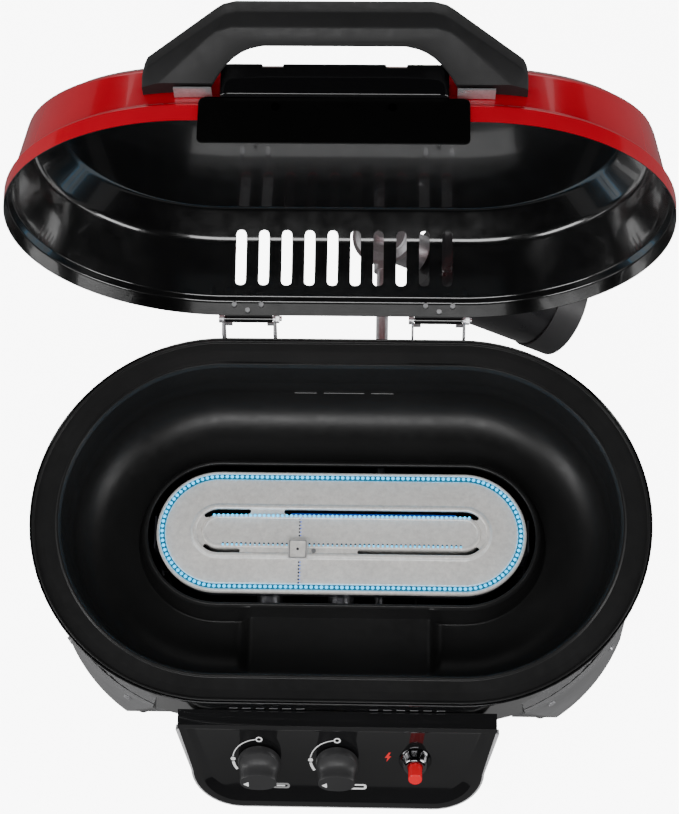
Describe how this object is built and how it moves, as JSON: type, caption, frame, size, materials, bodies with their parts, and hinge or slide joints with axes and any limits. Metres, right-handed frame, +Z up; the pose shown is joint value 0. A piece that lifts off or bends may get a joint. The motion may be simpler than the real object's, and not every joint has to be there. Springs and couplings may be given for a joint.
{
  "type": "portable tabletop gas grill",
  "caption": "Racetrack-shaped portable gas grill: hinged enamel lid with arch handle, lift-out water pan, ring and bar burner, control panel, regulator and cylinder.",
  "frame": {"origin": "middle of the bounding box at table height, lid open as stored", "axes": "+X towards the right end of the racetrack bowl seen from the control panel, +Y towards the hinges and regulator, +Z up"},
  "size_m": [0.5838, 0.5946, 0.6198],
  "materials": {
    "bowl_enamel": "gloss black enamel",
    "leg_plastic": "dark grey moulded plastic",
    "pad_rubber": "black rubber",
    "zinc_steel": "zinc-plated steel",
    "fascia_gloss": "piano black",
    "box_paint": "dark grey paint",
    "trim_silver": "pale grey satin",
    "knob_plastic": "charcoal moulded plastic",
    "collar_plastic": "black, glossy",
    "button_red": "signal red",
    "lead_insulation": "black insulation",
    "ceramic": "glazed white ceramic",
    "burner_steel": "satin stainless steel",
    "valve_brass": "plain brass",
    "line_steel": "drawn steel tube",
    "pan_enamel": "matte black non-stick coat",
    "lid_enamel": "gloss red enamel outside, gloss black inside",
    "handle_plastic": "charcoal moulded plastic",
    "plate_black": "gloss black",
    "regulator_zinc": "die-cast, satin",
    "cylinder_paint": "satin black paint",
    "cup_plastic": "dark grey moulded plastic"
  },
  "bodies": {
    "base": {"base_shell": "bowl_enamel", "leg_front_left": "leg_plastic", "leg_front_right": "leg_plastic", "leg_rear_left": "leg_plastic", "leg_rear_right": "leg_plastic", "foot_pads": "pad_rubber", "leg_screws": "zinc_steel", "heat_shield": "bowl_enamel", "control_fascia": "fascia_gloss", "control_box": "box_paint", "panel_trim": "trim_silver", "igniter_collar": "collar_plastic", "igniter_body": "collar_plastic", "igniter_spring": "zinc_steel", "ignition_wire": "lead_insulation", "electrode": "ceramic", "collector_box": "burner_steel", "ring_burner_top": "burner_steel", "ring_burner_base": "burner_steel", "bar_burner": "burner_steel", "burner_brackets": "zinc_steel", "burner_screws": "zinc_steel", "venturi_left": "burner_steel", "venturi_right": "burner_steel", "valve_body_left": "valve_brass", "valve_body_right": "valve_brass", "manifold": "line_steel", "inlet_pipe": "line_steel", "inlet_fitting": "zinc_steel", "hinge_bracket_left": "zinc_steel", "hinge_bracket_right": "zinc_steel", "hinge_bolts": "zinc_steel", "hinge_nuts": "zinc_steel", "bracket_screws": "zinc_steel"},
    "valve_left": {"valve_plug_left": "valve_brass", "valve_spring_left": "zinc_steel"},
    "valve_right": {"valve_plug_right": "valve_brass", "valve_spring_right": "zinc_steel"},
    "knob_left": {"knob_left": "knob_plastic", "valve_stem_left": "zinc_steel"},
    "knob_right": {"knob_right": "knob_plastic", "valve_stem_right": "zinc_steel"},
    "button": {"igniter_button": "button_red"},
    "pan": {"water_pan": "pan_enamel"},
    "lid": {"lid_shell": "lid_enamel", "lid_handle": "handle_plastic", "handle_brackets": "zinc_steel", "handle_screws": "zinc_steel", "badge_block": "fascia_gloss", "front_plate": "plate_black", "plate_screws": "zinc_steel", "hinge_leaf_left": "plate_black", "hinge_leaf_right": "plate_black", "leaf_screws": "zinc_steel"},
    "regulator": {"regulator_pipe": "zinc_steel", "regulator_body": "regulator_zinc"},
    "cylinder": {"gas_cylinder": "cylinder_paint", "cylinder_foot": "cup_plastic"}
  },
  "joints": [
    {"name": "lid_hinge", "type": "hinge", "parent": "base", "child": "lid", "pos_m": [0, 0.1503, 0.196], "axis": [-1, 0, 0], "range_deg": [-92, 0]},
    {"name": "valve_turn_left", "type": "hinge", "parent": "base", "child": "valve_left", "pos_m": [-0.073, -0.2627, 0.106], "axis": [0, -0.8192, 0.5736], "range_deg": [-135, 0]},
    {"name": "valve_turn_right", "type": "hinge", "parent": "base", "child": "valve_right", "pos_m": [0, -0.2627, 0.106], "axis": [0, -0.8192, 0.5736], "range_deg": [-135, 0]},
    {"name": "knob_push_left", "type": "slide", "parent": "valve_left", "child": "knob_left", "axis": [0, 0.8192, -0.5736], "range_m": [0, 0.003], "stiffness_N_per_m": 600, "springref_m": -0.002, "deforming": ["valve_spring_left"]},
    {"name": "knob_push_right", "type": "slide", "parent": "valve_right", "child": "knob_right", "axis": [0, 0.8192, -0.5736], "range_m": [0, 0.003], "stiffness_N_per_m": 600, "springref_m": -0.002, "deforming": ["valve_spring_right"]},
    {"name": "button_push", "type": "slide", "parent": "base", "child": "button", "axis": [0, 0.8192, -0.5736], "range_m": [0, 0.007], "stiffness_N_per_m": 400, "springref_m": -0.003, "deforming": ["igniter_spring"]},
    {"name": "pan_lift", "type": "slide", "parent": "base", "child": "pan", "axis": [0, 0, 1], "range_m": [0, 0.12]},
    {"name": "regulator_pull", "type": "slide", "parent": "base", "child": "regulator", "axis": [0, 1, 0], "range_m": [0, 0.06]},
    {"name": "cylinder_unscrew", "type": "slide", "parent": "regulator", "child": "cylinder", "axis": [0.8721, -0.1381, -0.4695], "range_m": [0, 0.01]}
  ]
}
